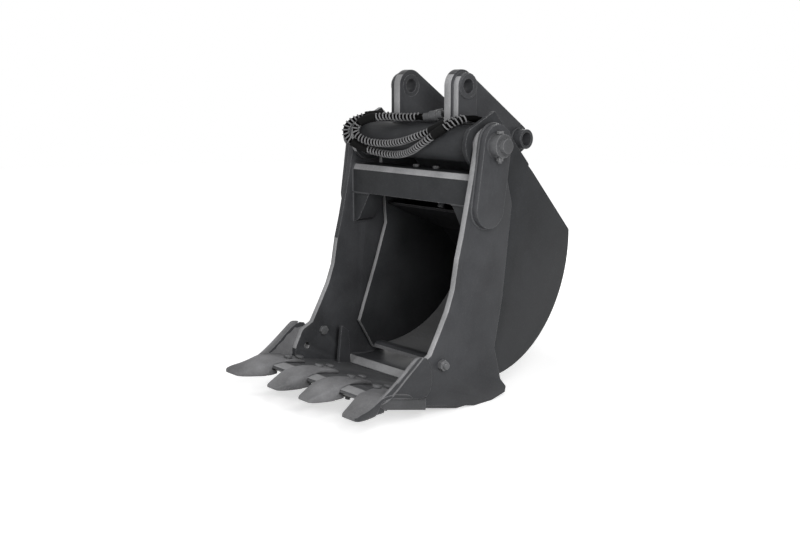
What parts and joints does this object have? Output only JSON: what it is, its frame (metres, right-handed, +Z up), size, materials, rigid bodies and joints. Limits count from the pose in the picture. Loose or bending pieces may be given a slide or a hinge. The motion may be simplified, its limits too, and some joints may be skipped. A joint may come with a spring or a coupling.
{
  "type": "jaw bucket",
  "caption": "Hydraulic jaw bucket for a small excavator: a fixed back shell and a toothed jaw that swings open on a hinge under the pin ears.",
  "frame": {"origin": "centre of the dipper pin bore, midway between the ears", "axes": "+X to the right across the bucket, +Y to the back, +Z up with the bucket standing on its floor; the teeth point to -Y"},
  "size_m": [0.75, 1.051, 1.043],
  "materials": {
    "black_paint": "satin near-black paint over mill scale",
    "worn_paint": "satin near-black paint on the working faces",
    "hose_guard": "black rubber hose in a black plastic spiral guard",
    "plated_fastener": "dark zinc plate",
    "pin_steel": "painted pin steel",
    "forged_tooth": "forged steel, thinly painted",
    "chromed_rod": "hard chrome",
    "seal": "black rubber",
    "bush_steel": "turned steel"
  },
  "bodies": {
    "shell": {"anchor_lugs": "black_paint", "anchor_pin": "pin_steel", "back_wrapper": "worn_paint", "dipper_bush_left": "bush_steel", "dipper_bush_right": "bush_steel", "ear_left": "black_paint", "ear_pad_left": "black_paint", "ear_pad_right": "black_paint", "ear_right": "black_paint", "hinge_bush_left": "bush_steel", "hinge_bush_right": "bush_steel", "hinge_tube": "black_paint", "hose_couplings": "plated_fastener", "hose_elbows": "plated_fastener", "hose_inner": "hose_guard", "hose_outer": "hose_guard", "inner_cover": "worn_paint", "link_boss_left": "black_paint", "link_boss_right": "black_paint", "shell_closing_edge": "worn_paint", "shell_side_left": "black_paint", "shell_side_right": "black_paint", "top_deck": "black_paint"},
    "jaw": {"centre_tooth_1": "forged_tooth", "centre_tooth_2": "forged_tooth", "corner_brace_left": "black_paint", "corner_brace_right": "black_paint", "corner_tooth_left": "forged_tooth", "corner_tooth_right": "forged_tooth", "crossbeam": "black_paint", "cutting_edge": "worn_paint", "guide_plate_left": "black_paint", "guide_plate_right": "black_paint", "heel_plate": "black_paint", "hinge_cheek_left": "black_paint", "hinge_cheek_right": "black_paint", "hinge_collar_left": "pin_steel", "hinge_collar_right": "pin_steel", "hinge_lock_bolts": "plated_fastener", "hinge_pin_left": "pin_steel", "hinge_pin_right": "pin_steel", "jaw_floor": "worn_paint", "jaw_side_left": "black_paint", "jaw_side_right": "black_paint", "rod_lug_left": "black_paint", "rod_lug_right": "black_paint", "rod_pin": "pin_steel", "rod_pin_keeper_bolts": "plated_fastener", "side_bolts": "plated_fastener", "tooth_bolts": "plated_fastener", "tooth_nuts": "plated_fastener"},
    "cylinder": {"cylinder_barrel": "black_paint", "cylinder_foot": "black_paint", "cylinder_gland": "black_paint", "cylinder_ports": "black_paint"},
    "rod": {"cylinder_rod": "chromed_rod", "cylinder_piston": "chromed_rod", "piston_seal": "seal", "rod_eye": "black_paint"}
  },
  "joints": [
    {"name": "jaw_hinge", "type": "hinge", "parent": "shell", "child": "jaw", "pos_m": [0, -0.05, -0.176], "axis": [-1, 0, 0], "range_deg": [0, 40]},
    {"name": "cylinder_swing", "type": "hinge", "parent": "shell", "child": "cylinder", "pos_m": [0, 0.25, -0.406], "axis": [-1, 0, 0], "range_deg": [-1.47, 0.2]},
    {"name": "rod_slide", "type": "slide", "parent": "cylinder", "child": "rod", "axis": [0, -0.9581, 0.2866], "range_m": [0, 0.0983]}
  ],
  "couplings": [
    {"joint": "cylinder_swing", "follows": "jaw_hinge", "ratio": -0.03179},
    {"joint": "rod_slide", "follows": "jaw_hinge", "m_per_rad": 0.14011}
  ]
}
